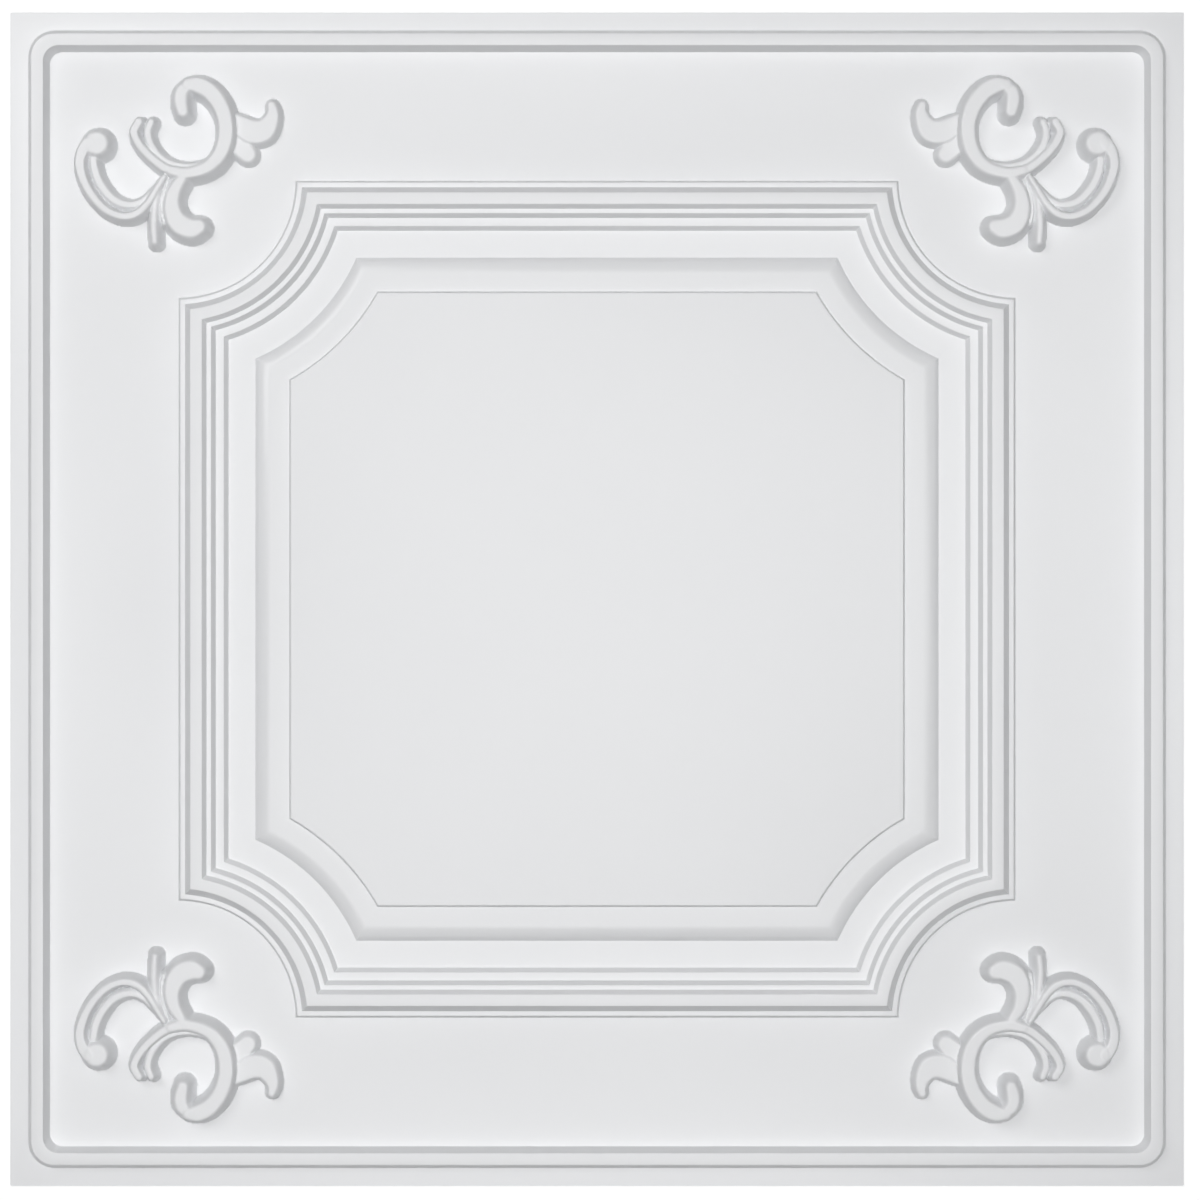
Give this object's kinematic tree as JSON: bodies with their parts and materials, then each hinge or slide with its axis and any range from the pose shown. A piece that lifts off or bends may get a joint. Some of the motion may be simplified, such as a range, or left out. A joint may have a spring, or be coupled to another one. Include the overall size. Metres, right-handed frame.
{
  "type": "drop ceiling tile",
  "caption": "Square lay-in ceiling tile of thin formed sheet with a grid lip, raised rim, stepped concave-corner moulding, raised centre panel and scroll corners.",
  "frame": {"origin": "centre of the tile's flat underside, at the level it lies on", "axes": "+Z out of the decorated face, +X and +Y along the sides"},
  "size_m": [0.603, 0.603, 0.0108],
  "materials": {
    "sheet": "matte white"
  },
  "bodies": {
    "root": {"ceiling_tile": "sheet"}
  },
  "joints": []
}
